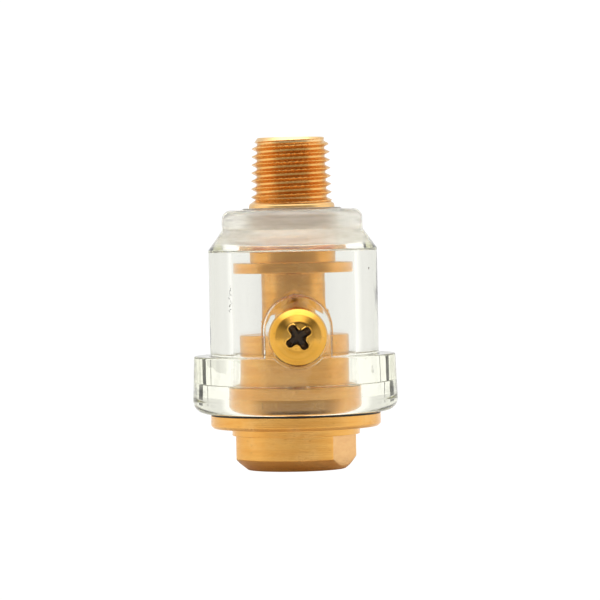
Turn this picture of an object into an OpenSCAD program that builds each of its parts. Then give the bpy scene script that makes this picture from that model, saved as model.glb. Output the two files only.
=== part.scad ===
// In-line air tool oiler: brass flow path up the middle, clear oil bowl around it.
// Origin: on the flow axis, in the bottom face of the inlet hub.
// +Z is the direction of flow, from the inlet to the outlet. The fill screw faces -Y.

/* [Inlet base] */
// Radius of the inlet hub
hub_r = 10.45; // [10:0.05:11]
// Distance across the two wrench flats
hub_flat_af = 17; // [16:0.5:18]
// Direction of the first wrench flat, from +X about +Z
hub_flat_dir = -21.5; // [-90:0.5:90]
// Height of the hub, up to the step under the flange
hub_h = 5.75; // [5:0.05:6.2]
// Height of the chamfer at the bottom of the hub
hub_chamfer = 1.85; // [1:0.05:2]
// Width of the chamfer at the bottom of the hub
hub_chamfer_w = 2.3; // [1:0.05:2.5]
// Radius of the flange
flange_r = 14.15; // [13.5:0.05:15]
// Top face of the flange
flange_top = 9.15; // [9:0.05:10]
// Radius of the seat that centres the bowl's skirt
seat_r = 10.95; // [10.5:0.05:11.2]
// Top of the seat
seat_top = 13.9; // [13:0.1:15]
// Radius of the socket that holds the stem
socket_r = 9.08; // [8:0.02:9.6]
// Top of the socket
socket_top = 22.5; // [21:0.1:24]

/* [Outlet stem] */
// Radius of the column through the oil space
column_r = 5.3; // [5:0.05:6]
// Radius of the disc at the top of the column
disc_r = 9.95; // [9:0.05:10]
// Underside of the disc
disc_bottom = 32.75; // [32:0.05:33.5]
// Top of the disc
disc_top = 34.4; // [34:0.05:35]
// Outside radius of the neck thread that the bowl screws onto
neck_thread_r = 8; // [7.9:0.05:8.2]
// Pitch of the neck thread
neck_pitch = 1.5; // [1:0.5:2]
// Bottom of the neck thread
neck_thread_bottom = 36.2; // [36:0.05:36.5]
// Top of the neck thread
neck_thread_top = 40.1; // [39.5:0.05:40.5]
// Radius of the plain neck above and below its thread
neck_r = 7.13; // [7:0.01:7.2]
// Top of the plain neck, where the outlet thread starts
neck_top = 44; // [43.5:0.05:44.5]
// Top of the outlet
stem_top = 55.2; // [54:0.1:57]
// Radius of the flow passage
passage_r = 3.3; // [3:0.05:3.5]

/* [Outlet thread] */
// Pitch of the tapered outlet thread, 19 turns to the inch
outlet_pitch = 1.337; // [1.3:0.001:1.4]
// Crest radius of the outlet thread
outlet_crest_r = 6.58; // [6.5:0.01:6.65]
// Depth of the outlet thread
outlet_depth = 0.82; // [0.7:0.01:0.86]

/* [Bowl] */
// Radius of the oil space
cavity_r = 10.35; // [10.2:0.05:10.5]
// Ceiling of the oil space
cavity_top = 36.5; // [35.8:0.05:37]
// Radius of the bowl's plain wall
bowl_r = 14.05; // [13.5:0.05:14.5]
// Top of the plain wall, where the shoulder cone starts
shoulder_z = 36.65; // [36.4:0.05:37]
// Radius of the shoulder cone's top
cone_top_r = 11.75; // [11:0.05:12]
// Radius of the collar
collar_r = 11.7; // [11:0.05:12]
// Bottom of the collar
collar_bottom = 39.9; // [39:0.1:40.5]
// Top of the collar
collar_top = 43.25; // [43:0.05:44]
// Radius of the skirt at its top
skirt_top_r = 16.8; // [16:0.05:17]
// Radius of the skirt just above its rounded lower edge
skirt_low_r = 17.15; // [16.5:0.05:17.5]
// Top of the skirt
skirt_top = 19.05; // [18.5:0.05:19.5]
// Height of the skirt's rounded lower edge
skirt_round = 2.1; // [1:0.1:2.4]

/* [Fill boss] */
// Half width of the boss
boss_r = 5.4; // [5:0.05:5.8]
// Height of the centre of the boss's round top
boss_z = 23.6; // [23:0.1:24]
// Distance of the boss's flat face from the axis
boss_face = 16; // [15.8:0.05:16.4]
// Height of the fill screw
fill_z = 22.5; // [22:0.1:23]

/* [Fill screw] */
// Radius of the fill screw's head
fill_head_r = 4.8; // [4.6:0.05:5]
// Height of the fill screw's head
fill_head_h = 3.1; // [2.6:0.1:3.6]
// Outside radius of the fill screw's thread
fill_thread_r = 2.5; // [2.4:0.05:2.6]
// Turn of the cross recess in the head
recess_turn = 34; // [0:1:90]
// Span of the cross recess
recess_span = 4.6; // [4:0.1:5]
// Width of one wing of the recess
recess_wing = 1.15; // [1:0.05:1.3]
// Depth of the recess
recess_depth = 2.1; // [1.5:0.1:2.4]

/* [Metering] */
// Outside radius of the metering screw's thread
meter_thread_r = 2; // [1.9:0.05:2]
// Underside of the bridge that carries the metering screw
bridge_bottom = 23.9; // [23.5:0.1:24.2]
// Top of the bridge
bridge_top = 30.6; // [30:0.1:31]
// Number of air holes through the bridge
air_holes = 4; // [2:2:4]
// Radius of one air hole
air_hole_r = 0.9; // [0.6:0.1:0.9]

/* [Clearances] */
// Radial gap of each screwed or sliding fit
running_gap = 0.06; // [0.03:0.01:0.09]
// Gap left at each face that touches a moving piece
face_gap = 0.03; // [0.02:0.01:0.05]
// Radial gap of each fixed fit
fixed_gap = 0.02; // [0.01:0.01:0.04]

/* [Hidden] */
$fn = 96;

brass = "goldenrod";
seal_black = "#202020";

// the inlet thread: a parallel quarter-inch pipe thread, drawn at its minor radius
inlet_r = 5.72;
inlet_depth = 11.3;
inlet_mouth_r = 6.6;
inlet_lead_in = (inlet_mouth_r - inlet_r) * tan(30);

step_r = 10.65;
flange_bottom = 7;
flange_edge = 0.5;

// the stem's threaded end in the base
spigot_r = 5;
spigot_bottom = 13.2;
pilot_bottom = 18.5;
stem_groove_z = 20.6;
stem_groove_h = 1.4;
stem_groove_r = 4.6;

// the seal in the bowl's counterbore
neck_seal_r = 8.2;
neck_seal_top = 43.5;

gasket_r = 14.1;
gasket_h = 9.5 - flange_top;
skirt_bottom = 9.5;
skirt_foot_r = 15.2;

outlet_crests = 7;
outlet_land = 0.26;
outlet_mouth = 0.8;
outlet_first = stem_top - 1.85;

// the fill screw's seal sits in a counterbore in the boss's face
fill_seat_r = 3.85;
fill_seat_depth = 1.15;
fill_seal_r = 0.56;
fill_seal_ring_r = fill_thread_r + running_gap + fill_seal_r;
fill_shank_end = 10.9;

// the metering screw: needle, neck, seal groove, thread and slotted end
needle_tip = 25.5;
needle_top = 26.6;
meter_neck_r = 1.15;
meter_groove_bottom = 27.35;
meter_groove_top = 28.45;
meter_thread_top = 31.2;
meter_bore_r = 0.45;
meter_slot_w = 0.7;
meter_slot_depth = 0.9;
well_r = 2.06;
well_bottom = 26.1;
oil_duct_z = 25;
wick_r = 1.1;
wick_depth = 2.7;

function crest_z(i) = outlet_first - i * outlet_pitch;

// a ring between two radii and two heights
module ring(outer, inner, bottom, top) {
    translate([0, 0, bottom]) difference() {
        cylinder(r = outer, h = top - bottom);
        translate([0, 0, -1]) cylinder(r = inner, h = top - bottom + 2);
    }
}

// a round solid ring whose section is a circle
module o_ring(mid_r, section_r) {
    rotate_extrude() translate([mid_r, 0]) circle(r = section_r, $fn = 32);
}

// points the things inside it towards -Y at the height of the fill screw
module at_fill() {
    translate([0, 0, fill_z]) rotate([90, 0, 0]) children();
}

module inlet_base() {
    color(brass) difference() {
        union() {
            difference() {
                rotate_extrude() polygon([[0, 0], [hub_r - hub_chamfer_w, 0], [hub_r, hub_chamfer],
                    [hub_r, hub_h], [0, hub_h]]);
                for (side = [0, 180]) rotate([0, 0, hub_flat_dir + side])
                    translate([hub_flat_af / 2, -hub_r, -1]) cube([hub_r, 2 * hub_r, hub_h + 2]);
            }
            rotate_extrude() polygon([[0, hub_h], [step_r, hub_h], [step_r, flange_bottom],
                [flange_r - flange_edge, flange_bottom], [flange_r, flange_bottom + flange_edge],
                [flange_r, flange_top], [seat_r, flange_top], [seat_r, seat_top], [socket_r, seat_top],
                [socket_r, socket_top], [0, socket_top]]);
        }
        // threaded inlet with its lead-in chamfer
        translate([0, 0, -1]) cylinder(r = inlet_r, h = inlet_depth + 1);
        cylinder(r1 = inlet_mouth_r, r2 = inlet_r, h = inlet_lead_in);
        // flow passage, then the threaded and the plain part of the socket for the stem
        cylinder(r = passage_r, h = spigot_bottom + 1);
        translate([0, 0, spigot_bottom - 0.2]) cylinder(r = spigot_r + fixed_gap, h = socket_top);
        translate([0, 0, pilot_bottom]) cylinder(r = column_r + fixed_gap, h = socket_top);
    }
}

// turned profile of the stem, with the outlet thread as rings of crest and groove
module stem_profile() {
    root_r = outlet_crest_r - outlet_depth;
    lands = [for (i = [outlet_crests - 1 : -1 : 0]) each [
        [root_r, crest_z(i) - outlet_pitch / 2],
        [outlet_crest_r, crest_z(i) - outlet_land / 2],
        [outlet_crest_r, crest_z(i) + outlet_land / 2]]];
    polygon(concat([[0, spigot_bottom], [spigot_r, spigot_bottom], [spigot_r, pilot_bottom],
        [column_r, pilot_bottom], [column_r, disc_bottom], [disc_r, disc_bottom], [disc_r, disc_top],
        [neck_r, disc_top], [neck_r, neck_thread_bottom], [neck_thread_r, neck_thread_bottom],
        [neck_thread_r, neck_thread_top], [neck_r, neck_thread_top], [neck_r, neck_top]],
        lands, [[root_r, crest_z(0) + outlet_pitch / 2], [root_r, stem_top], [0, stem_top]]));
}

module outlet_stem() {
    color(brass) difference() {
        rotate_extrude() stem_profile();
        // groove for the seal in the base
        ring(column_r + 1, stem_groove_r, stem_groove_z - stem_groove_h / 2, stem_groove_z + stem_groove_h / 2);
        // flow passage below and above the bridge
        translate([0, 0, spigot_bottom - 1]) cylinder(r = passage_r, h = bridge_bottom - spigot_bottom + 1);
        translate([0, 0, bridge_top]) cylinder(r = passage_r, h = stem_top);
        translate([0, 0, stem_top - outlet_mouth])
            cylinder(r1 = passage_r, r2 = passage_r + outlet_mouth, h = outlet_mouth + 0.01);
        // air holes through the bridge
        for (i = [0 : air_holes - 1]) rotate([0, 0, 45 + i * 360 / air_holes])
            translate([(well_r + column_r) / 2, 0, bridge_bottom - 1])
                cylinder(r = air_hole_r, h = bridge_top - bridge_bottom + 2, $fn = 32);
        // well for the metering screw, and the oil chamber under its seat
        translate([0, 0, well_bottom]) cylinder(r = well_r, h = stem_top);
        translate([0, 0, oil_duct_z - 0.6]) cylinder(r = 0.8, h = 3, $fn = 32);
        // oil duct from the back of the oil space, with a wider mouth for the wick
        translate([0, 0, oil_duct_z]) rotate([-90, 0, 0]) cylinder(r = 0.6, h = column_r + 1, $fn = 32);
        translate([0, column_r - wick_depth, oil_duct_z]) rotate([-90, 0, 0])
            cylinder(r = wick_r + fixed_gap, h = wick_depth + 1, $fn = 32);
        // bleed hole that lets line pressure into the bowl
        translate([0, 0, (socket_top + bridge_bottom) / 2]) rotate([0, 90, 0])
            cylinder(r = 0.4, h = column_r + 1, $fn = 32);
    }
}

module stem_seal() {
    color(seal_black) translate([0, 0, stem_groove_z])
        o_ring((stem_groove_r + column_r + fixed_gap) / 2, (column_r - stem_groove_r) / 2 - 0.01);
}

module bowl_gasket() {
    color(seal_black) ring(gasket_r, seat_r + 0.1, flange_top, flange_top + gasket_h - face_gap);
}

module felt_wick() {
    color("ivory") translate([0, column_r - wick_depth, oil_duct_z]) rotate([-90, 0, 0])
        cylinder(r = wick_r, h = wick_depth - 0.15, $fn = 32);
}

module neck_seal() {
    color("lightgray") ring(neck_seal_r, neck_r + running_gap, neck_thread_top + face_gap, neck_seal_top);
}

// outline of the bowl, before the oil space is taken out
module bowl_profile() {
    polygon(concat([[0, skirt_bottom], [skirt_foot_r, skirt_bottom]],
        [for (a = [15 : 15 : 75]) [
            skirt_foot_r + (skirt_low_r - skirt_foot_r) * sin(a),
            skirt_bottom + skirt_round * (1 - cos(a))]],
        [[skirt_low_r, skirt_bottom + skirt_round], [skirt_top_r, skirt_top - 0.25],
        [skirt_top_r - 0.25, skirt_top], [bowl_r, skirt_top], [bowl_r, shoulder_z],
        [cone_top_r, collar_bottom - 0.1], [collar_r, collar_bottom + 0.4],
        [collar_r, collar_top - 1.2], [collar_r - 0.35, collar_top - 0.35],
        [collar_r - 1.2, collar_top], [0, collar_top]]));
}

// flat-faced boss with a round top, standing on the skirt's ledge
module fill_boss() {
    translate([0, 0, boss_z]) rotate([90, 0, 0]) linear_extrude(boss_face) union() {
        circle(r = boss_r);
        translate([-boss_r, skirt_top - boss_z - 1]) square([2 * boss_r, boss_z - skirt_top + 1]);
    }
}

module bowl() {
    color([0.9, 0.93, 0.88, 0.35]) difference() {
        union() {
            rotate_extrude() bowl_profile();
            fill_boss();
        }
        // seat for the base, oil space, neck thread and the neck seal's counterbore
        translate([0, 0, skirt_bottom - 1]) cylinder(r = seat_r + running_gap, h = seat_top + 0.2 - skirt_bottom + 1);
        translate([0, 0, skirt_bottom]) cylinder(r = cavity_r, h = cavity_top - skirt_bottom);
        translate([0, 0, cavity_top - 1]) cylinder(r = neck_thread_r + running_gap, h = collar_top);
        translate([0, 0, neck_thread_top]) cylinder(r = neck_seal_r + running_gap, h = collar_top);
        // flat for the head of the fill screw, cut into the skirt
        at_fill() translate([0, 0, boss_face]) cylinder(r = boss_r - 0.1, h = 5);
        // threaded fill hole and the counterbore for its seal
        at_fill() translate([0, 0, 5]) cylinder(r = fill_thread_r + running_gap, h = boss_face);
        at_fill() translate([0, 0, boss_face - fill_seat_depth]) cylinder(r = fill_seat_r, h = 5);
    }
}

module fill_screw_seal() {
    color(seal_black) at_fill() translate([0, 0, boss_face - fill_seat_depth + fill_seal_r + face_gap])
        o_ring(fill_seal_ring_r, fill_seal_r);
}

// domed head: a sphere's cap over a short straight rim
module fill_head() {
    rim_h = 0.7;
    dome_h = fill_head_h - rim_h;
    dome_r = (fill_head_r * fill_head_r + dome_h * dome_h) / (2 * dome_h);
    cylinder(r = fill_head_r, h = rim_h);
    intersection() {
        translate([0, 0, rim_h + dome_h - dome_r]) sphere(r = dome_r);
        translate([0, 0, rim_h]) cylinder(r = fill_head_r, h = dome_h + 1);
    }
}

module fill_screw() {
    color(brass) at_fill() difference() {
        union() {
            translate([0, 0, boss_face + face_gap]) fill_head();
            translate([0, 0, fill_shank_end]) cylinder(r = fill_thread_r, h = boss_face + 1 - fill_shank_end);
        }
        // cross recess
        translate([0, 0, boss_face + fill_head_h - recess_depth]) rotate([0, 0, recess_turn])
            for (turn = [0, 90]) rotate([0, 0, turn])
                translate([-recess_span / 2, -recess_wing / 2, 0]) cube([recess_span, recess_wing, 5]);
    }
}

module metering_seal() {
    color(seal_black) translate([0, 0, (meter_groove_bottom + meter_groove_top) / 2])
        o_ring((meter_neck_r + well_r) / 2 + 0.01, (well_r - meter_neck_r) / 2 - 0.04);
}

module metering_screw() {
    color(brass) difference() {
        union() {
            rotate_extrude() polygon([[0, needle_tip], [0.25, needle_tip], [meter_neck_r, needle_top],
                [meter_neck_r, meter_groove_top], [meter_thread_r, meter_groove_top],
                [meter_thread_r, meter_thread_top - 0.3], [meter_thread_r - 0.3, meter_thread_top],
                [0, meter_thread_top]]);
            ring(meter_thread_r - 0.1, 0.5, meter_groove_bottom - 0.35, meter_groove_bottom);
        }
        // bore that carries the oil up, its cross hole, and the driver slot
        translate([0, 0, needle_top]) cylinder(r = meter_bore_r, h = meter_thread_top, $fn = 32);
        translate([-3, 0, needle_top + 0.2]) rotate([0, 90, 0]) cylinder(r = 0.25, h = 6, $fn = 32);
        translate([-3, -meter_slot_w / 2, meter_thread_top - meter_slot_depth]) cube([6, meter_slot_w, 3]);
    }
}

inlet_base();
outlet_stem();
stem_seal();
bowl_gasket();
felt_wick();
neck_seal();
bowl();
fill_screw_seal();
fill_screw();
metering_seal();
metering_screw();
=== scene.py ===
"""Looks of the in-line air tool oiler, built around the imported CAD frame.

Mesh code works in millimetres in the frame's axes; finish_mesh() brings each piece to metres.
"""
import math
from math import cos, pi, radians, sin, sqrt

import bmesh
import bpy
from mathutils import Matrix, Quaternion, Vector, noise


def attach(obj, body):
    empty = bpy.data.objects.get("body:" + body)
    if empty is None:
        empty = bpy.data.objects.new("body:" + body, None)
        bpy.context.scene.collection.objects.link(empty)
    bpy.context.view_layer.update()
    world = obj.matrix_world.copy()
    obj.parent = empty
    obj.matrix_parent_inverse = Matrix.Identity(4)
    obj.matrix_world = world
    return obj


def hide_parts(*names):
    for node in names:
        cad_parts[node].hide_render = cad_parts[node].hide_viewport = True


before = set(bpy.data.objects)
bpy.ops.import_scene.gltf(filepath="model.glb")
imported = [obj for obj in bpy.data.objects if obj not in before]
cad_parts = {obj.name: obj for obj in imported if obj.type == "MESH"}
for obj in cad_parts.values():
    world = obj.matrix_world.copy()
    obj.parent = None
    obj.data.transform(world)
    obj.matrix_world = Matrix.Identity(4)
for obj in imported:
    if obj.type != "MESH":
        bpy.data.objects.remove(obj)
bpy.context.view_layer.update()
scene = bpy.context.scene

MM = 0.001
TAU = 2 * pi
SHARP = radians(32)  # edges that turn more than this are shaded sharp
HOLD = 0.04  # distance of the points that keep a flat flat beside a fillet

# Sizes in mm that several pieces share
PIPE_PITCH = 1.337  # outlet and inlet, 19 turns to the inch
NECK_PITCH, NECK_START = 1.5, 36.5  # the bowl's thread on the stem, and the height of one of its crests
NECK_CREST, NECK_R = 8.0, 7.13  # that thread's crest, and its root, which is the plain neck
FILL_PITCH = 0.8
FILL_Z = 22.5  # height of the fill screw's axis
WALL_R = 14.05  # outside of the bowl's wall
BOSS_FACE = 16.0  # distance of the fill boss's face from the axis


# ---------------------------------------------------------------- camera
def make_camera():
    """The photo's view: long lens, nearly level, a little from the left and slightly rolled."""
    distance, azimuth, height, roll = 0.630, radians(-2.1), 0.04325, radians(-1.15)
    aim_right, aim_up = 0.00107, 0.0281
    data = bpy.data.cameras.new("camera")
    data.lens, data.sensor_width = 226.8, 36
    data.clip_start, data.clip_end = 0.01, 20
    cam = bpy.data.objects.new("camera", data)
    scene.collection.objects.link(cam)
    scene.camera = cam
    right = Vector((cos(azimuth), sin(azimuth), 0))
    cam.location = (distance * sin(azimuth), -distance * cos(azimuth), height)
    target = right * aim_right + Vector((0, 0, aim_up))
    cam.rotation_mode = "QUATERNION"
    look = (target - cam.location).to_track_quat("-Z", "Y")
    cam.rotation_quaternion = look @ Quaternion((0, 0, 1), roll)


make_camera()


# ---------------------------------------------------------------- outlines
def rounded(corners, closed=True, step=12, hold=HOLD):
    """An outline in (r, z) from corners (r, z[, fillet]), with an arc at each corner that has a fillet.

    step is the arc's angle between points in degrees.
    """
    out = []
    n = len(corners)
    for i, corner in enumerate(corners):
        p = Vector(corner[:2])
        fillet = corner[2] if len(corner) > 2 else 0
        if not closed and i in (0, n - 1) or fillet <= 0:
            out.append(tuple(p))
            continue
        a, b = Vector(corners[i - 1][:2]) - p, Vector(corners[(i + 1) % n][:2]) - p
        la, lb = a.length, b.length
        a.normalize()
        b.normalize()
        half = a.angle(b) / 2
        reach = min(fillet / math.tan(half), la * 0.49, lb * 0.49)
        radius = reach * math.tan(half)
        middle = p + (a + b).normalized() * (radius / sin(half))
        start, end = p + a * reach, p + b * reach
        if hold and reach + hold < la * 0.5:
            out.append(tuple(p + a * (reach + hold)))
        u, v = start - middle, end - middle
        turn = pi - 2 * half
        count = max(2, math.ceil(math.degrees(turn) / step))
        side = 1 if u.x * v.y - u.y * v.x > 0 else -1
        for k in range(count + 1):
            t = side * turn * k / count
            out.append(tuple(middle + Vector((u.x * cos(t) - u.y * sin(t), u.x * sin(t) + u.y * cos(t)))))
        if hold and reach + hold < lb * 0.5:
            out.append(tuple(p + b * (reach + hold)))
    return out


def rows(r, bottom, top, step):
    """Points of one straight cylinder line, close enough together to carry a thread."""
    n = max(1, round(abs(top - bottom) / step))
    return [(r, bottom + (top - bottom) * i / n) for i in range(n + 1)]


def densify(outline, longest, inside=lambda r, z: True, closed=True):
    """Splits the outline's long sides where inside() holds for both their ends."""
    out = []
    n = len(outline)
    for i in range(n if closed else n - 1):
        a, b = outline[i], outline[(i + 1) % n]
        out.append(a)
        length = math.dist(a, b)
        if length > longest and inside(*a) and inside(*b):
            m = math.ceil(length / longest)
            out += [tuple(a[k] + (b[k] - a[k]) * j / m for k in (0, 1)) for j in range(1, m)]
    if not closed:
        out.append(outline[-1])
    return out


# ---------------------------------------------------------------- threads
def vee(t, crest=0.06, root=0.06):
    """Thread form over one pitch: 0 on the crest at t = 0, 1 in the root at t = 0.5.

    crest and root are half the width of their flats, as a part of the pitch.
    """
    d = abs((t + 0.5) % 1 - 0.5)
    return min(1, max(0, (d - crest) / (0.5 - crest - root)))


def thread(pitch, start, crest, root):
    """A right-hand thread as a radius over (theta, z)."""
    def radius(theta, z):
        return crest - (crest - root) * vee((z - start) / pitch - theta / TAU)
    return radius


# ---------------------------------------------------------------- meshes
def new_object(name, verts, faces):
    """An object in the scene whose faces all point out."""
    mesh = bpy.data.meshes.new(name)
    mesh.from_pydata(verts, [], faces)
    obj = bpy.data.objects.new(name, mesh)
    scene.collection.objects.link(obj)
    bm = bmesh.new()
    bm.from_mesh(mesh)
    bmesh.ops.recalc_face_normals(bm, faces=bm.faces)
    bm.to_mesh(mesh)
    bm.free()
    return obj


def lathe(name, outline, segments=192, shape=None, closed=True, place=None):
    """Turns an (r, z) outline about the axis.

    shape(theta, r, z) may move a point within its half plane; place(x, y, z) puts it in the frame. Rows of an
    outline that carry a thread have a radius of their own, which is how shape() knows them.
    """
    verts, rings = [], []
    for r, z in outline:
        if r < 1e-6:
            rings.append([len(verts)] * segments)
            verts.append((0, 0, z))
            continue
        rings.append(range(len(verts), len(verts) + segments))
        for i in range(segments):
            theta = TAU * i / segments
            rr, zz = shape(theta, r, z) if shape else (r, z)
            verts.append((rr * cos(theta), rr * sin(theta), zz))
    faces = []
    for k in range(len(rings) if closed else len(rings) - 1):
        a, b = rings[k], rings[(k + 1) % len(rings)]
        if a[0] == a[1] and b[0] == b[1]:
            continue
        for i in range(segments):
            j = (i + 1) % segments
            quad = [a[i], a[j], b[j], b[i]]
            faces.append([v for n, v in enumerate(quad) if v != quad[n - 1]])
    if place:
        verts = [place(*v) for v in verts]
    return new_object(name, verts, faces)


def loft(name, sections):
    """A closed solid through sections with the same number of points, capped at both ends."""
    n = len(sections[0])
    verts = [p for section in sections for p in section]
    faces = [list(range(n)), list(range(len(verts) - n, len(verts)))]
    for k in range(len(sections) - 1):
        for i in range(n):
            j = (i + 1) % n
            faces.append([k * n + i, k * n + j, (k + 1) * n + j, (k + 1) * n + i])
    return new_object(name, verts, faces)


def join(objects):
    """Several separate solids in one mesh."""
    bm = bmesh.new()
    for o in objects:
        bm.from_mesh(o.data)
        bpy.data.objects.remove(o)
    mesh = bpy.data.meshes.new("joined")
    bm.to_mesh(mesh)
    bm.free()
    obj = bpy.data.objects.new("joined", mesh)
    scene.collection.objects.link(obj)
    return obj


def boolean(obj, tool, operation="DIFFERENCE"):
    """Applies an exact boolean and removes the tool."""
    modifier = obj.modifiers.new("cut", "BOOLEAN")
    modifier.operation, modifier.object, modifier.solver = operation, tool, "EXACT"
    result = bpy.data.meshes.new_from_object(obj.evaluated_get(bpy.context.evaluated_depsgraph_get()))
    obj.modifiers.clear()
    obj.data = result
    bpy.data.objects.remove(tool)


def finish_mesh(obj, material, body, node):
    """Brings a piece from millimetres to metres, shades it, and ties it to the frame."""
    bm = bmesh.new()
    bm.from_mesh(obj.data)
    same = 0.0005  # mm
    bmesh.ops.remove_doubles(bm, verts=bm.verts, dist=same)
    bmesh.ops.dissolve_degenerate(bm, edges=bm.edges, dist=same)
    bmesh.ops.scale(bm, vec=(MM, MM, MM), verts=bm.verts)
    for f in bm.faces:
        f.smooth = True
    for e in bm.edges:
        e.smooth = len(e.link_faces) == 2 and e.calc_face_angle(0) < SHARP
    bm.to_mesh(obj.data)
    bm.free()
    obj.data.materials.clear()
    obj.data.materials.append(material)
    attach(obj, body)
    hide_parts(node)


# ---------------------------------------------------------------- materials
class Nodes:
    """Short way to write a material's nodes."""

    def __init__(self, tree):
        self.tree = tree

    def add(self, kind, inputs=None, **props):
        node = self.tree.nodes.new(kind)
        for key, value in props.items():
            setattr(node, key, value)
        for key, value in (inputs or {}).items():
            socket = node.inputs[key]
            if isinstance(value, bpy.types.NodeSocket):
                self.tree.links.new(value, socket)
            else:
                socket.default_value = value
        return node

    def math(self, operation, *values):
        return self.add("ShaderNodeMath", dict(enumerate(values)), operation=operation).outputs[0]

    def vector(self, operation, *values):
        node = self.add("ShaderNodeVectorMath", dict(enumerate(values)), operation=operation)
        return node.outputs["Value" if operation in ("LENGTH", "DOT_PRODUCT") else "Vector"]

    def noise(self, where, scale, detail=3, rough=0.5, distortion=0):
        return self.add("ShaderNodeTexNoise", {"Vector": where, "Scale": scale, "Detail": detail,
                                               "Roughness": rough, "Distortion": distortion}).outputs["Fac"]

    def remap(self, value, lo, hi, to_lo=0.0, to_hi=1.0):
        """to_lo where value is at lo or before it, to_hi where it is at hi or beyond, and linear between."""
        return self.add("ShaderNodeMapRange", {"Value": value, "From Min": lo, "From Max": hi,
                                               "To Min": to_lo, "To Max": to_hi}).outputs[0]

    def mix(self, factor, a, b):
        return self.add("ShaderNodeMix", {0: factor, 6: a, 7: b}, data_type="RGBA").outputs[2]

    def bump(self, height, distance, strength=1.0, normal=None):
        inputs = {"Height": height, "Distance": distance, "Strength": strength}
        if normal:
            inputs["Normal"] = normal
        return self.add("ShaderNodeBump", inputs).outputs[0]


def material(name):
    """A new material, its nodes and its empty output."""
    mat = bpy.data.materials.new(name)
    mat.use_nodes = True
    mat.node_tree.nodes.clear()
    nodes = Nodes(mat.node_tree)
    out = nodes.add("ShaderNodeOutputMaterial")
    return mat, nodes, out


def in_mm(nodes):
    """Object coordinates in millimetres."""
    where = nodes.add("ShaderNodeTexCoord").outputs["Object"]
    return nodes.vector("MULTIPLY", where, (1000, 1000, 1000))


def rgba(r, g, b):
    return (r, g, b, 1)


def brass(name, axis="z", base=(0.84, 0.485, 0.145), deep=(0.77, 0.39, 0.095),
          pale=(0.88, 0.55, 0.22), rough=0.2, marks=1.0, recess=None, bright=None):
    """Turned brass: rings of tool marks about the axis, streaks, small pits and, with recess, painted shade in
    a recess.

    recess is the radius and the face of a recess darkened with painted shade, bright the two heights beyond
    which the cuts are newer.
    """
    mat, n, out = material(name)
    where = in_mm(n)
    xyz = n.add("ShaderNodeSeparateXYZ", {0: where}).outputs
    if axis == "z":
        across = n.add("ShaderNodeCombineXYZ", {0: xyz[0], 1: xyz[1]}).outputs[0]
        along = xyz[2]
    else:
        lifted = n.math("SUBTRACT", xyz[2], FILL_Z)
        across = n.add("ShaderNodeCombineXYZ", {0: xyz[0], 1: lifted}).outputs[0]
        along = xyz[1]
    radius = n.vector("LENGTH", across)
    rings = n.add("ShaderNodeCombineXYZ", {0: radius, 2: along}).outputs[0]
    # streaks run round the axis: slow along the turn, quick up the length
    slow = n.vector("MULTIPLY", across, (0.10, 0.10, 0))
    streak_at = n.vector("ADD", slow, n.vector("MULTIPLY", rings, (1.3, 0, 1.3)))
    streaks = n.noise(streak_at, 1.0, 3, 0.55)
    hair = n.noise(n.vector("ADD", slow, n.vector("MULTIPLY", rings, (7, 0, 7))), 1.0, 2, 0.6)
    clouds = n.noise(where, 0.30, 3, 0.55)
    grain = n.noise(where, 16.0, 2, 0.5)
    colour = n.mix(n.remap(streaks, 0.35, 0.65, 0.15, 0.85), rgba(*deep), rgba(*base))
    colour = n.mix(n.remap(clouds, 0.45, 0.75, 0, 0.5), colour, rgba(*pale))
    if bright:
        # newer cuts are paler: a little between the two heights and more beyond them
        low, high = bright
        below, edge = 1.7, 0.2  # how far the newer cut goes down from low, and its soft edge
        newer = n.math("ADD", n.remap(along, low - below - edge / 2, low - below + edge / 2),
                       n.remap(along, high, high + edge))
        newer = n.math("SUBTRACT", newer, n.remap(along, low, low + edge))
        newer = n.math("ADD", n.math("MULTIPLY", newer, 0.6), n.remap(along, low, low + edge, 0, 0.22))
        colour = n.mix(newer, colour, rgba(0.93, 0.67, 0.36))
    pit = n.remap(n.noise(where, 2.4, 2, 0.5, 0.4), 0.705, 0.74)
    colour = n.mix(n.math("MULTIPLY", pit, 0.5), colour, rgba(0.30, 0.13, 0.03))
    roughness = n.math("ADD", n.remap(clouds, 0.3, 0.7, rough - 0.03, rough + 0.06),
                       n.remap(grain, 0.3, 0.7, -0.03, 0.05))
    if recess:
        # painted shade in the recess, which is also rougher: nearer the axis than reach and up to 3 mm deeper
        # than the face
        reach, face = recess
        recess_painted_shade = n.math("MULTIPLY", n.remap(radius, reach, reach - 0.05), n.remap(along, -face, -face + 0.2))
        recess_painted_shade = n.math("MULTIPLY", recess_painted_shade, n.remap(along, -face + 3, -face + 2.9))
        colour = n.mix(recess_painted_shade, colour, rgba(0.16, 0.085, 0.025))
        roughness = n.math("ADD", roughness, n.math("MULTIPLY", recess_painted_shade, 0.25))
    height = n.math("ADD", n.math("MULTIPLY", hair, marks), n.math("MULTIPLY", grain, 0.6))
    height = n.math("SUBTRACT", height, n.math("MULTIPLY", pit, 2.0))
    normal = n.bump(height, 0.00001, 1.0)
    shader = n.add("ShaderNodeBsdfPrincipled", {
        "Base Color": colour, "Metallic": 1.0, "Roughness": roughness, "Normal": normal})
    n.tree.links.new(shader.outputs[0], out.inputs[0])
    return mat


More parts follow.
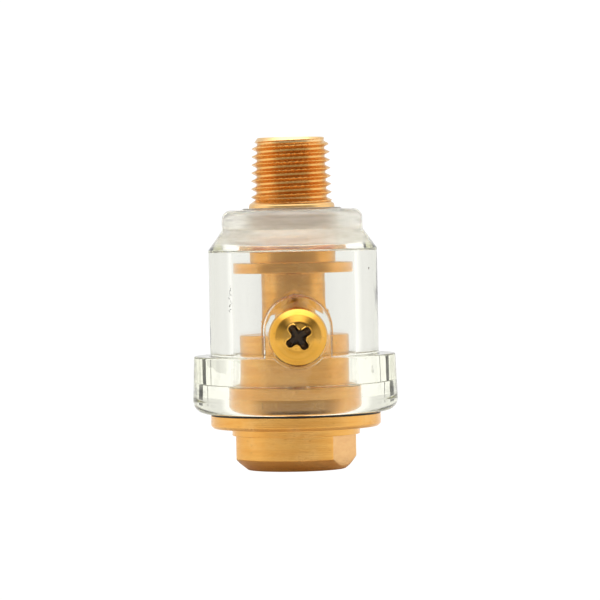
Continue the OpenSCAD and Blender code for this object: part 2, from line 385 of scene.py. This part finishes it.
def clear_plastic(name):
    """Moulded polycarbonate with a faint yellow cast, fine scratches, flow waves and a milky neck."""
    mat, n, out = material(name)
    where = in_mm(n)
    xyz = n.add("ShaderNodeSeparateXYZ", {0: where}).outputs
    radius = n.vector("LENGTH", n.add("ShaderNodeCombineXYZ", {0: xyz[0], 1: xyz[1]}).outputs[0])
    # the neck's inner thread is the roughest part
    inside = n.remap(radius, 8.15, 8.35, 1, 0)
    threaded = n.math("MULTIPLY", inside, n.remap(xyz[2], 35.8, 36.3))
    waves = n.noise(where, 0.09, 2, 0.4)
    scratch_at = n.vector("MULTIPLY", where, (5.0, 5.0, 0.35))
    scratches = n.remap(n.noise(scratch_at, 1.0, 3, 0.7), 0.68, 0.76)
    normal = n.bump(waves, 0.0003, 0.5)
    normal = n.bump(scratches, 0.000005, 0.4, normal)
    smooth = n.remap(n.noise(where, 1.4, 3, 0.6), 0.45, 0.8, 0.0, 0.015)
    # the neck has a fine matt finish and looks milky
    neck = n.remap(xyz[2], 36.8, 37.6)
    roughness = n.math("MAXIMUM", smooth, n.math("MULTIPLY", threaded, 0.42))
    roughness = n.math("MAXIMUM", roughness, n.math("MULTIPLY", neck, 0.13))
    streaks = n.noise(n.vector("MULTIPLY", where, (0.2, 0.2, 1.1)), 1.0, 2, 0.5)
    milk = n.math("MULTIPLY", neck, n.remap(streaks, 0.3, 0.7, 0.14, 0.20))
    # painted glow standing in for light scattered inside the milky neck, most of it in the cone
    glow = n.math("MULTIPLY", milk, n.remap(xyz[2], 39.6, 40.8, 0.72, 0.32))
    # a long scuff on the left of the wall and a nick on the right; turn is mm round the wall from the front
    scuff_turn, nick_turn, nick_z = -12.3, 14.9, 33.3
    turn = n.math("MULTIPLY", n.math("ARCTAN2", xyz[0], n.math("MULTIPLY", xyz[1], -1.0)), WALL_R)
    wander_at = n.add("ShaderNodeCombineXYZ", {2: n.math("MULTIPLY", xyz[2], 1.3)}).outputs[0]
    wander = n.remap(n.noise(wander_at, 1.0, 4, 0.7), 0.3, 0.7, -0.7, 0.7)
    off = n.math("ABSOLUTE", n.math("SUBTRACT", n.math("ADD", turn, -scuff_turn), wander))
    broken = n.remap(n.noise(n.vector("MULTIPLY", where, (2, 2, 2.6)), 1.0, 2, 0.6), 0.44, 0.52)
    height = n.math("MULTIPLY", n.remap(xyz[2], 26.3, 26.8), n.remap(xyz[2], 31.2, 30.8))
    scuff = n.math("MULTIPLY", n.math("MULTIPLY", n.remap(off, 0.17, 0.07), broken), height)
    nick_at = n.add("ShaderNodeCombineXYZ", {
        0: n.math("SUBTRACT", turn, nick_turn), 1: n.math("SUBTRACT", xyz[2], nick_z)})
    nick = n.remap(n.vector("LENGTH", nick_at.outputs[0]), 0.26, 0.14)
    scuff = n.math("MULTIPLY", n.math("MAXIMUM", scuff, nick), n.remap(radius, 13.9, 14.0))
    clearness = n.math("SUBTRACT", n.math("SUBTRACT", 1.0, milk), n.math("MULTIPLY", scuff, 0.6))
    roughness = n.math("MAXIMUM", roughness, n.math("MULTIPLY", scuff, 0.5))
    tint = n.mix(neck, rgba(1, 1, 1), rgba(1, 0.985, 0.94))
    tint = n.mix(scuff, tint, rgba(0.22, 0.22, 0.20))
    shader = n.add("ShaderNodeBsdfPrincipled", {
        "Base Color": tint, "Transmission Weight": clearness, "IOR": 1.586, "Roughness": roughness,
        "Subsurface Weight": 1.0, "Subsurface Radius": (1.0, 0.95, 0.85), "Subsurface Scale": 0.005,
        "Emission Color": rgba(1, 0.95, 0.80), "Emission Strength": glow, "Normal": normal})
    haze = n.add("ShaderNodeVolumeAbsorption", {"Color": rgba(0.70, 0.70, 0.22), "Density": 16.0})
    n.tree.links.new(shader.outputs[0], out.inputs["Surface"])
    n.tree.links.new(haze.outputs[0], out.inputs["Volume"])
    return mat


def rubber(name):
    """Black rubber with a fine grain."""
    mat, n, out = material(name)
    where = in_mm(n)
    speck = n.noise(where, 6.0, 3, 0.6)
    tone = n.mix(n.remap(speck, 0.4, 0.7), rgba(0.012, 0.012, 0.012), rgba(0.0288, 0.0288, 0.0288))
    shader = n.add("ShaderNodeBsdfPrincipled", {
        "Base Color": tone, "Roughness": n.remap(speck, 0.3, 0.7, 0.42, 0.6),
        "Normal": n.bump(speck, 0.00002, 0.5)})
    n.tree.links.new(shader.outputs[0], out.inputs[0])
    return mat


def soft_seal(name):
    """Milky translucent polyurethane."""
    mat, n, out = material(name)
    where = in_mm(n)
    cloud = n.noise(where, 0.8, 3, 0.6)
    tone = n.mix(n.remap(cloud, 0.35, 0.7), rgba(0.90, 0.85, 0.76), rgba(0.96, 0.93, 0.87))
    shader = n.add("ShaderNodeBsdfPrincipled", {
        "Base Color": tone, "Roughness": 0.3, "Transmission Weight": 0.8, "IOR": 1.45,
        "Normal": n.bump(cloud, 0.00005, 0.4)})
    n.tree.links.new(shader.outputs[0], out.inputs[0])
    return mat


def felt(name):
    """Pressed wool with coarse fibres."""
    mat, n, out = material(name)
    where = in_mm(n)
    fibres = n.noise(n.vector("MULTIPLY", where, (9, 2.5, 9)), 1.0, 5, 0.7, 0.6)
    tone = n.mix(n.remap(fibres, 0.35, 0.65), rgba(0.42, 0.36, 0.26), rgba(0.78, 0.72, 0.58))
    shader = n.add("ShaderNodeBsdfPrincipled", {
        "Base Color": tone, "Roughness": 0.95, "Sheen Weight": 0.4, "Normal": n.bump(fibres, 0.00012, 0.9)})
    n.tree.links.new(shader.outputs[0], out.inputs[0])
    return mat


BRASS_BASE = brass("brass_base")
BRASS_STEM = brass("brass_stem", base=(0.84, 0.475, 0.135), deep=(0.74, 0.37, 0.08),
                   pale=(0.88, 0.53, 0.20), marks=0.5, bright=(45.0, 54.2))
BRASS_FILL = brass("brass_fill", axis="y", base=(0.82, 0.47, 0.10), deep=(0.72, 0.38, 0.06),
                   pale=(0.86, 0.54, 0.17), rough=0.17, marks=0.1, recess=(2.6, 18.78))
BRASS_METER = brass("brass_meter", rough=0.25)
CLEAR = clear_plastic("clear_bowl")
BLACK = rubber("black_rubber")
MILKY = soft_seal("milky_seal")
FELT = felt("felt")


# ---------------------------------------------------------------- inlet base
HUB_R, HUB_TOP = 10.45, 5.75
FLAT, FLAT_DIR = 8.5, radians(-21.5)  # half the 17 mm across the flats, and where one of them faces
INLET_ROOT, INLET_TOP = 5.72, 11.3
LEAD_IN_R = 6.6  # mouth of the inlet's 60 degree lead-in


def soft_min(a, b, k=0.05):
    """The smaller of two values, with the change from one to the other rounded over about k."""
    h = max(0.0, min(1.0, 0.5 + 0.5 * (b - a) / k))
    return b + (a - b) * h - k * h * (1 - h)


def make_base():
    inlet = thread(PIPE_PITCH, 0.2, 6.56, INLET_ROOT)

    def shape(theta, r, z):
        if 7.5 < r < 10.5 and z < HUB_TOP + 0.001:
            off = min(abs((theta - FLAT_DIR + side + pi) % TAU - pi) for side in (0, pi))
            if off < radians(60):
                return soft_min(r, FLAT / cos(off)), z
        if r == INLET_ROOT and 0.4 < z < INLET_TOP:
            cut = inlet(theta, z)
            fade = min(1, (INLET_TOP - z) / 0.8)
            limit = LEAD_IN_R - z * math.tan(radians(60))
            return max(INLET_ROOT + (cut - INLET_ROOT) * fade, limit), z
        return r, z

    outline = rounded([
        # lead-in, end face and chamfer of the hub, then its step
        (LEAD_IN_R, 0, 0.08), (8.15, 0, 0.15), (HUB_R, 1.85, 0.2), (HUB_R, HUB_TOP), (10.65, HUB_TOP, 0.08),
        # flange and seat
        (10.65, 6.95, 0.25), (13.7, 7.0, 0.3), (14.15, 7.45, 0.3), (14.15, 9.15, 0.08), (10.95, 9.15, 0.1),
        (10.95, 13.9, 0.25),
        # socket outside and inside, and the passage down to the inlet
        (9.08, 13.9, 0.1), (9.08, 22.5, 0.3), (5.32, 22.5, 0.25), (5.32, 18.5), (5.02, 18.5, 0.1),
        (5.02, 13.0), (3.3, 13.0, 0.1), (3.3, INLET_TOP)])
    outline += rows(INLET_ROOT, INLET_TOP, 0.45, 0.06)
    outline = densify(outline, 0.35, lambda r, z: z < 5.8 and r > 7)
    base = lathe("base", outline, 320, shape)
    finish_mesh(base, BRASS_BASE, "core", "inlet_base")


# ---------------------------------------------------------------- outlet stem
STEM_TOP = 55.2
OUTLET_ROWS = 6.5  # radius that marks the rows of the outlet thread
OUTLET_DEPTH, OUTLET_CREST_Z = 0.84, 52.73  # depth of that thread, and the height of one of its crests
OUTLET_MID_R, OUTLET_MID_Z = 6.58, 49.34  # crest radius at the middle of the outlet's taper
DISC_R, DISC_BOTTOM, DISC_TOP = 9.95, 32.75, 34.4
NECK_BOTTOM, NECK_TOP, NECK_RUNOUT = 36.2, 40.1, 0.7
DUCT_Z, BLEED_Z = 25, 23.2  # heights of the oil duct and of the bleed hole


def to_duct(x, y, z):
    """A point made on the local +Z axis, laid along +Y at the oil duct's height."""
    return (x, z, DUCT_Z - y)


def stem_radius_limit(z):
    """The chamfer at the top of the outlet thread."""
    return 5.5 + (STEM_TOP - z) * 0.7


def make_stem():
    neck = thread(NECK_PITCH, NECK_START, NECK_CREST, NECK_R)

    def shape(theta, r, z):
        if r == NECK_CREST:
            fade = min(1, (z - NECK_BOTTOM) / NECK_RUNOUT, (NECK_TOP - z) / NECK_RUNOUT)
            return NECK_R + (neck(theta, z) - NECK_R) * max(0, fade) ** 0.5, z
        if r == OUTLET_ROWS:
            crest = OUTLET_MID_R + (OUTLET_MID_Z - z) / 32  # 1 in 16 on the diameter
            turned = crest - OUTLET_DEPTH * vee((z - OUTLET_CREST_Z) / PIPE_PITCH - theta / TAU, 0.04, 0.13)
            worn = 0.02 * noise.noise(Vector((3.1 * cos(theta), 3.1 * sin(theta), z * 2.3)))
            foot = min(7.05, 7.05 - (z - 44.15) * 1.4)  # the sloped ring under the last turn
            return max(foot, min(turned + worn, stem_radius_limit(z))), z
        if r > 8.5 and z > DISC_TOP - 0.2:
            # burrs left on the disc's top edge
            burr = noise.noise(Vector((6 * cos(theta), 6 * sin(theta), r)))
            return r, z + 0.16 * max(0, burr - 0.05)
        return r, z

    outline = rounded([
        # lower bore, spigot and the groove for its O-ring
        (0, 23.9), (3.3, 23.9), (3.3, 13.2, 0.1), (5.0, 13.2, 0.4), (5.0, 18.5), (5.3, 18.5),
        (5.3, 19.9, 0.1), (4.6, 19.9, 0.1), (4.6, 21.3, 0.1), (5.3, 21.3, 0.1),
        # column, disc and neck
        (5.3, DISC_BOTTOM, 0.2), (DISC_R, DISC_BOTTOM, 0.15), (DISC_R, DISC_TOP, 0.15),
        (NECK_R, DISC_TOP, 0.15), (NECK_R, NECK_BOTTOM)], closed=False)
    outline += rows(NECK_CREST, 36.21, 40.09, 0.05)
    outline += [(NECK_R, NECK_TOP), (NECK_R, 43.9), (7.05, 44.0)]
    outline += rows(OUTLET_ROWS, 44.02, 55.1, 0.035)
    outline += rounded([
        # end face, outlet bore, and the metering screw's bore and needle hole
        (5.55, 55.1), (5.5, STEM_TOP, 0.06), (4.1, STEM_TOP, 0.1), (3.3, 54.4, 0.15), (3.3, 30.6, 0.1),
        (2.06, 30.6, 0.12), (2.06, 26.1), (0.8, 26.1, 0.1), (0.8, 24.4), (0, 24.4)], closed=False)
    outline = densify(outline, 0.8, lambda r, z: 22 < z < 31.5, closed=False)
    stem = lathe("stem", outline, 240, shape, closed=False)

    def pipe(name, profile, place):
        return lathe(name, profile, 40, closed=False, place=place)

    # four air passages beside the metering screw's bore
    tools, air_circle = [], 3.68
    for i in range(4):
        a = radians(45 + 90 * i)
        tools.append(pipe("air", [(0, 23), (0.9, 23), (0.9, 31.5), (0, 31.5)],
                          lambda x, y, z, a=a: (x + air_circle * cos(a), y + air_circle * sin(a), z)))
    # oil duct with the wick's mouth towards +Y, bleed hole towards +X
    tools.append(pipe("duct", [(0, 0.4), (0.6, 0.4), (0.6, 2.6), (1.12, 2.6), (1.12, 6), (0, 6)], to_duct))
    tools.append(pipe("bleed", [(0, 3.0), (0.4, 3.0), (0.4, 5.1), (0.7, 5.6), (0, 5.6)],
                      lambda x, y, z: (z, y, BLEED_Z - x)))
    boolean(stem, join(tools))
    finish_mesh(stem, BRASS_STEM, "core", "outlet_stem")


# ---------------------------------------------------------------- bowl
def to_fill(x, y, z):
    """A point made on the local +Z axis, laid along -Y at the fill screw's height."""
    return (x, -z, y + FILL_Z)


def boss_section(extra, depth=None, front=None):
    """One outline of the boss: an arch over straight sides.

    It lies depth outside the wall, or in the plane y = front.
    """
    half, foot, arch = 5.4 + extra, 18.2, 23.6
    steps, arc_steps = 10, 48
    points = [(-half, foot)]
    points += [(-half, foot + (arch - foot) * k / steps) for k in range(1, steps)]
    for k in range(arc_steps + 1):
        a = pi - pi * k / arc_steps
        points.append((half * cos(a), arch + half * sin(a)))
    points += [(half, arch - (arch - foot) * k / steps) for k in range(1, steps + 1)]
    out = []
    for x, z in points:
        y = front if front is not None else -(sqrt(WALL_R ** 2 - x * x) + depth)
        out.append((x, y, z))
    return out


def make_bowl():
    male = thread(NECK_PITCH, NECK_START, NECK_CREST, NECK_R)
    neck_rows = 7.5  # radius that marks the rows of the neck's thread
    cavity_r, ceiling = 10.35, 36.5

    def shape(theta, r, z):
        if r == neck_rows:
            return max(7.2, min(8.07, male(theta, z) + 0.08)), z
        return r, z

    outline = rounded([
        # oil space, seat bore and skirt
        (8.06, ceiling, 0.1), (cavity_r, ceiling, 0.25), (cavity_r, 14.1, 0.08), (11.02, 14.1),
        (11.02, 9.5, 0.15), (17.15, 9.5, 2.1), (16.8, 19.05, 0.25),
        # wall, shoulder cone, collar and the neck seal's counterbore
        (WALL_R, 19.05, 0.3), (WALL_R, 36.65, 0.15), (11.75, 39.9, 0.5), (11.7, 43.25, 1.5),
        (8.26, 43.25, 0.15), (8.26, 40.12)], step=8)
    outline += rows(neck_rows, NECK_TOP, 36.52, 0.05)
    outline = densify(outline, 0.6, lambda r, z: r > 13.9 and z < 32)
    outline = densify(outline, 2.0)
    bowl = lathe("bowl_shell", outline, 288, shape)
    # a small fillet where the boss leaves the wall and a rounded edge round its face
    on_wall = ((0.0, -1.5), (0.45, -0.3), (0.45, 0.0), (0.28, 0.06), (0.2, 0.16), (0.16, 0.35))
    at_face = ((-0.02, -15.86), (-0.05, -15.95), (-0.14, -BOSS_FACE))
    boss = loft("boss", [boss_section(extra, depth=depth) for extra, depth in on_wall]
                + [boss_section(extra, front=front) for extra, front in at_face])
    boolean(bowl, boss, "UNION")
    # flat for the screw's head in the skirt, then the seal's counterbore and the threaded hole
    spot = rounded([(0, BOSS_FACE), (5.3, BOSS_FACE, 0.1), (5.3, 20), (0, 20)], closed=False)
    boolean(bowl, lathe("spot", spot, 96, closed=False, place=to_fill))
    fill = thread(FILL_PITCH, 0.0, 2.56, 2.12)
    fill_rows = 2.3  # radius that marks the rows of the fill hole's thread

    def hole_shape(theta, r, z):
        return (fill(theta, z), z) if r == fill_rows else (r, z)

    hole = [(0, 9.0)] + rows(fill_rows, 9.0, 14.8, 0.04) + rounded(
        [(2.56, 14.85), (3.85, 14.85, 0.1), (3.85, 15.9), (3.95, 16.02), (3.95, 17), (0, 17)], closed=False)
    boolean(bowl, lathe("hole", hole, 96, hole_shape, closed=False, place=to_fill))
    finish_mesh(bowl, CLEAR, "bowl", "bowl")


# ---------------------------------------------------------------- seals and wick
def ring_piece(name, corners, mat, body, node):
    """A flat ring about the axis."""
    finish_mesh(lathe(name, rounded(corners), 160), mat, body, node)


def o_ring(name, mid, section, height, body, node, place=None):
    """A black O-ring: mid is the radius of its middle line, section the radius of its round section."""
    count = 28
    outline = [(mid + section * cos(TAU * k / count), height + section * sin(TAU * k / count))
               for k in range(count)]
    finish_mesh(lathe(name, outline, 120, place=place), BLACK, body, node)


def make_wick():
    def shape(theta, r, z):
        fuzz = 0.02 * noise.noise(Vector((r * cos(theta) * 3, r * sin(theta) * 3, z * 3)))
        return r + fuzz - 0.02, z

    outline = rounded([(0, 2.6), (1.1, 2.6, 0.15), (1.1, 5.15, 0.25), (0, 5.15)], closed=False)
    outline = densify(outline, 0.12, closed=False)
    wick = lathe("wick", outline, 64, shape, closed=False, place=to_duct)
    finish_mesh(wick, FELT, "core", "felt_wick")


# ---------------------------------------------------------------- screws
def cross(span, wing, inner, grow=0.0):
    """Outline of a cross recess with round tips and round inner corners."""
    a, w = span / 2 + grow, wing / 2 + grow
    corners = []
    for k in range(4):
        t = k * pi / 2
        for x, y, f in ((a, -w, w * 0.85), (a, w, w * 0.85), (w, w, inner)):
            corners.append((x * cos(t) - y * sin(t), x * sin(t) + y * cos(t), f))
    return rounded(corners, step=15, hold=0)


def make_fill_screw():
    """The fill screw, made upright on the axis and then laid in its hole."""
    screw_thread = thread(FILL_PITCH, 0.0, 2.48, 2.04)
    thread_rows = 2.4  # radius that marks the rows of the screw's thread

    def shape(theta, r, z):
        return (screw_thread(theta, z), z) if r == thread_rows else (r, z)

    z0 = 16.03  # underside of the head
    outline = [(0, 10.9), (1.7, 10.9), (2.0, 11.2)] + rows(thread_rows, 11.25, 14.4, 0.04) + [(2.05, 14.5)]
    pan = [(2.05, z0, 0.1), (4.75, z0, 0.05), (4.84, z0 + 0.15, 0.05), (4.84, z0 + 0.6, 0.25),
           (4.6, z0 + 1.4, 0.5), (3.8, z0 + 2.12, 1.1), (2.4, z0 + 2.8, 1.6), (0, z0 + 3.08)]
    outline += rounded(pan, closed=False, step=6)
    outline = densify(outline, 0.3, lambda r, z: z > z0, closed=False)
    screw = lathe("fill_screw_piece", outline, 144, shape, closed=False)
    top = z0 + 3.1
    turn = radians(34)  # how far the recess is turned from upright

    def turned(x, y, z):
        return (x * cos(turn) - y * sin(turn), x * sin(turn) + y * cos(turn), z)

    def lip_section(grow, lift, burr):
        """The recess outline moved out by grow and laid lift above the head's crown."""
        points = []
        for x, y in cross(4.60, 1.36, 0.57, grow):
            r = (x * x + y * y) ** 0.5
            crown = z0 + min(3.08 - 0.117 * r, 2.8 - 0.486 * (r - 2.4))
            bump = burr * noise.noise(Vector((1.7 * x, 1.7 * y, 4)))
            points.append(turned(x, y, crown + lift + bump))
        return points

    # the edge pressed up round the recess
    lip = loft("lip", [lip_section(0.20, -0.3, 0), lip_section(0.20, -0.02, 0), lip_section(0.07, 0.07, 0.07),
                       lip_section(-0.12, 0.05, 0)])
    boolean(screw, lip, "UNION")
    # the recess narrows with depth: depth, span, wing, inner corner
    recess = ((2.4, 1.8, 0.6, 0.15), (2.1, 3.05, 0.92, 0.3), (1.1, 4.05, 1.18, 0.47),
              (0.25, 4.58, 1.35, 0.57), (-0.6, 4.72, 1.39, 0.59))
    boolean(screw, loft("recess", [[turned(x, y, top - depth) for x, y in cross(span, wing, inner)]
                                   for depth, span, wing, inner in recess]))
    for v in screw.data.vertices:
        v.co = to_fill(*v.co)
    finish_mesh(screw, BRASS_FILL, "fill_screw", "fill_screw")


def make_metering_screw():
    """The needle screw in the outlet bore: slotted, and drilled down to a cross hole just above the needle."""
    meter_pitch, crest_z = 0.7, 28.5
    meter = thread(meter_pitch, crest_z, 1.98, 1.62)
    thread_rows = 1.9  # radius that marks the rows of the screw's thread

    def shape(theta, r, z):
        return (meter(theta, z), z) if r == thread_rows else (r, z)

    outline = rounded([
        (0, 25.5), (0.25, 25.5), (1.15, 26.6, 0.2), (1.15, 27.0), (1.9001, 27.0), (1.9001, 27.35),
        (1.15, 27.35, 0.1), (1.15, 28.45, 0.1), (1.7, 28.45)], closed=False)
    outline += rows(thread_rows, 28.55, 30.8, 0.035)
    outline += rounded([(1.7, 31.2, 0.05), (0.45, 31.2, 0.05), (0.45, 26.9), (0, 26.75)], closed=False)
    screw = lathe("metering_screw_piece", outline, 96, shape, closed=False)
    slot = loft("slot", [[(-3, -0.35, z), (3, -0.35, z), (3, 0.35, z), (-3, 0.35, z)] for z in (30.3, 32)])
    boolean(screw, slot)
    cross_hole = lathe("cross", [(0, -3), (0.25, -3), (0.25, 3), (0, 3)], 24, closed=False,
                       place=lambda x, y, z: (z, y, 26.82 - x))
    boolean(screw, cross_hole)
    finish_mesh(screw, BRASS_METER, "metering_screw", "metering_screw")


make_base()
make_stem()
make_bowl()
ring_piece("gasket", [(11.05, 9.15, 0.06), (14.1, 9.15, 0.1), (14.1, 9.47, 0.1), (11.05, 9.47, 0.06)],
           BLACK, "core", "bowl_gasket")
ring_piece("neck_ring", [(7.19, 40.13, 0.2), (8.2, 40.13, 0.2), (8.2, 43.5, 0.15), (7.19, 43.5, 0.15)],
           MILKY, "neck_seal", "neck_seal")
o_ring("stem_o_ring", 4.96, 0.34, 20.6, "core", "stem_seal")
o_ring("fill_o_ring", 3.12, 0.555, 15.44, "fill_seal", "fill_screw_seal", place=to_fill)
o_ring("metering_o_ring", 1.615, 0.415, 27.9, "metering_seal", "metering_seal")
make_wick()
make_fill_screw()
make_metering_screw()


# ---------------------------------------------------------------- floor and light
def make_floor():
    """A round pale floor, hidden from the camera and clear from below, that lights the object."""
    mat, n, out = material("pale_floor")
    # painted shade: a greyer oval patch on the floor in front of the foot, which the hub mirrors
    spot = n.vector("MULTIPLY", n.vector("ADD", in_mm(n), (0, 56, 0)), (0.6, 1, 1))
    floor_painted_shade = n.remap(n.vector("LENGTH", spot), 30, 12)
    tone = n.mix(floor_painted_shade, rgba(0.80, 0.80, 0.80), rgba(0.58, 0.57, 0.55))
    above = n.add("ShaderNodeBsdfDiffuse", {"Color": tone})
    glow = n.add("ShaderNodeEmission", {"Color": rgba(1, 1, 1), "Strength": 0.07})
    lit = n.add("ShaderNodeAddShader", {0: above.outputs[0], 1: glow.outputs[0]})
    clear = n.add("ShaderNodeBsdfTransparent")
    from_below = n.add("ShaderNodeNewGeometry").outputs["Backfacing"]
    both = n.add("ShaderNodeMixShader", {0: from_below, 1: lit.outputs[0], 2: clear.outputs[0]})
    n.tree.links.new(both.outputs[0], out.inputs[0])
    count, reach, level = 96, 0.20, -0.00002
    rim = [(reach * cos(TAU * k / count), reach * sin(TAU * k / count), level) for k in range(count)]
    floor = new_object("floor", rim, [list(range(count))])
    if floor.data.polygons[0].normal.z < 0:
        floor.data.flip_normals()
    floor.data.materials.append(mat)
    floor.visible_camera = False  # the photo's object stands on plain white


def make_flags():
    """Low black flags behind the object, met only by rays through clear plastic: the skirt's dark edges."""
    mat, n, out = material("flag")
    black = n.add("ShaderNodeBsdfDiffuse", {"Color": rgba(0.01, 0.01, 0.01)})
    n.tree.links.new(black.outputs[0], out.inputs[0])
    behind, top = 0.05, 0.0165
    for name, left, right in (("flag_mid", -0.008, 0.006), ("flag_left", -0.0258, -0.0242),
                              ("flag_right", 0.0242, 0.0258)):
        corners = [(left, behind, 0.0), (right, behind, 0.0), (right, behind, top), (left, behind, top)]
        flag = new_object(name, corners, [[0, 1, 2, 3]])
        flag.data.materials.append(mat)
        flag.visible_camera = flag.visible_diffuse = flag.visible_glossy = flag.visible_shadow = False


def make_world():
    """A light tent: white all round and brighter at the sides and above, with a darker opening in front."""
    world = bpy.data.worlds.new("world")
    scene.world = world
    world.use_nodes = True
    world.node_tree.nodes.clear()
    n = Nodes(world.node_tree)
    xyz = n.add("ShaderNodeSeparateXYZ", {0: n.add("ShaderNodeTexCoord").outputs["Generated"]}).outputs
    flat = n.math("ADD", n.math("MULTIPLY", xyz[0], xyz[0]), n.math("MULTIPLY", xyz[1], xyz[1]))
    flat = n.math("SQRT", flat)
    # cosine of a direction's angle from the front, and its height from -1 below to 1 above
    ahead = n.math("DIVIDE", n.math("MULTIPLY", xyz[1], -1.0), n.math("MAXIMUM", flat, 0.0001))
    height = xyz[2]

    def band(value, start, end):
        """Rises smoothly from 0 at start to 1 at end."""
        return n.add("ShaderNodeMapRange", {"Value": value, "From Min": start, "From Max": end},
                     interpolation_type="SMOOTHSTEP").outputs[0]

    def at(degrees):
        return cos(radians(degrees))

    back_level, white = 0.87, 1.05  # the tent behind the object, and what the camera sees past it
    level = n.math("MULTIPLY", band(height, 0.74, 0.60), band(height, -0.62, -0.38))
    opening = n.math("ADD", n.math("MULTIPLY", band(ahead, at(78), at(46)), 0.58),
                     n.math("MULTIPLY", band(ahead, at(34), at(8)), 0.07))
    opening = n.math("MULTIPLY", level, opening)
    # the darkest part of the opening is a little above the object
    hood = n.math("MULTIPLY", n.math("MULTIPLY", band(height, 0.24, 0.38), band(height, 0.68, 0.56)),
                  n.math("MULTIPLY", band(ahead, at(58), at(38)), 0.40))
    above = n.math("MULTIPLY", band(height, 0.68, 0.82), band(ahead, at(100), at(60)))
    above = n.math("ADD", n.math("MULTIPLY", above, 0.8), n.math("MULTIPLY", band(height, 0.66, 0.84), 0.5))
    # the front and the sides are brighter than the back
    sides = n.math("MULTIPLY", band(ahead, at(135), at(115)), 0.26)
    strength = n.math("ADD", n.math("ADD", back_level, sides), above)
    strength = n.math("SUBTRACT", strength, n.math("ADD", opening, hood))
    seen = n.add("ShaderNodeLightPath").outputs["Is Camera Ray"]
    strength = n.math("ADD", n.math("MULTIPLY", strength, n.math("SUBTRACT", 1.0, seen)),
                      n.math("MULTIPLY", seen, white))
    back = n.add("ShaderNodeBackground", {"Color": rgba(1, 1, 1), "Strength": strength})
    out = n.add("ShaderNodeOutputWorld")
    n.tree.links.new(back.outputs[0], out.inputs[0])


make_floor()
make_flags()
make_world()

scene.view_settings.view_transform = "Standard"
scene.view_settings.gamma = 0.9
scene.cycles.max_bounces = 24
scene.cycles.transmission_bounces = 16
scene.cycles.glossy_bounces = 10
scene.cycles.transparent_max_bounces = 12
scene.cycles.use_denoising = True
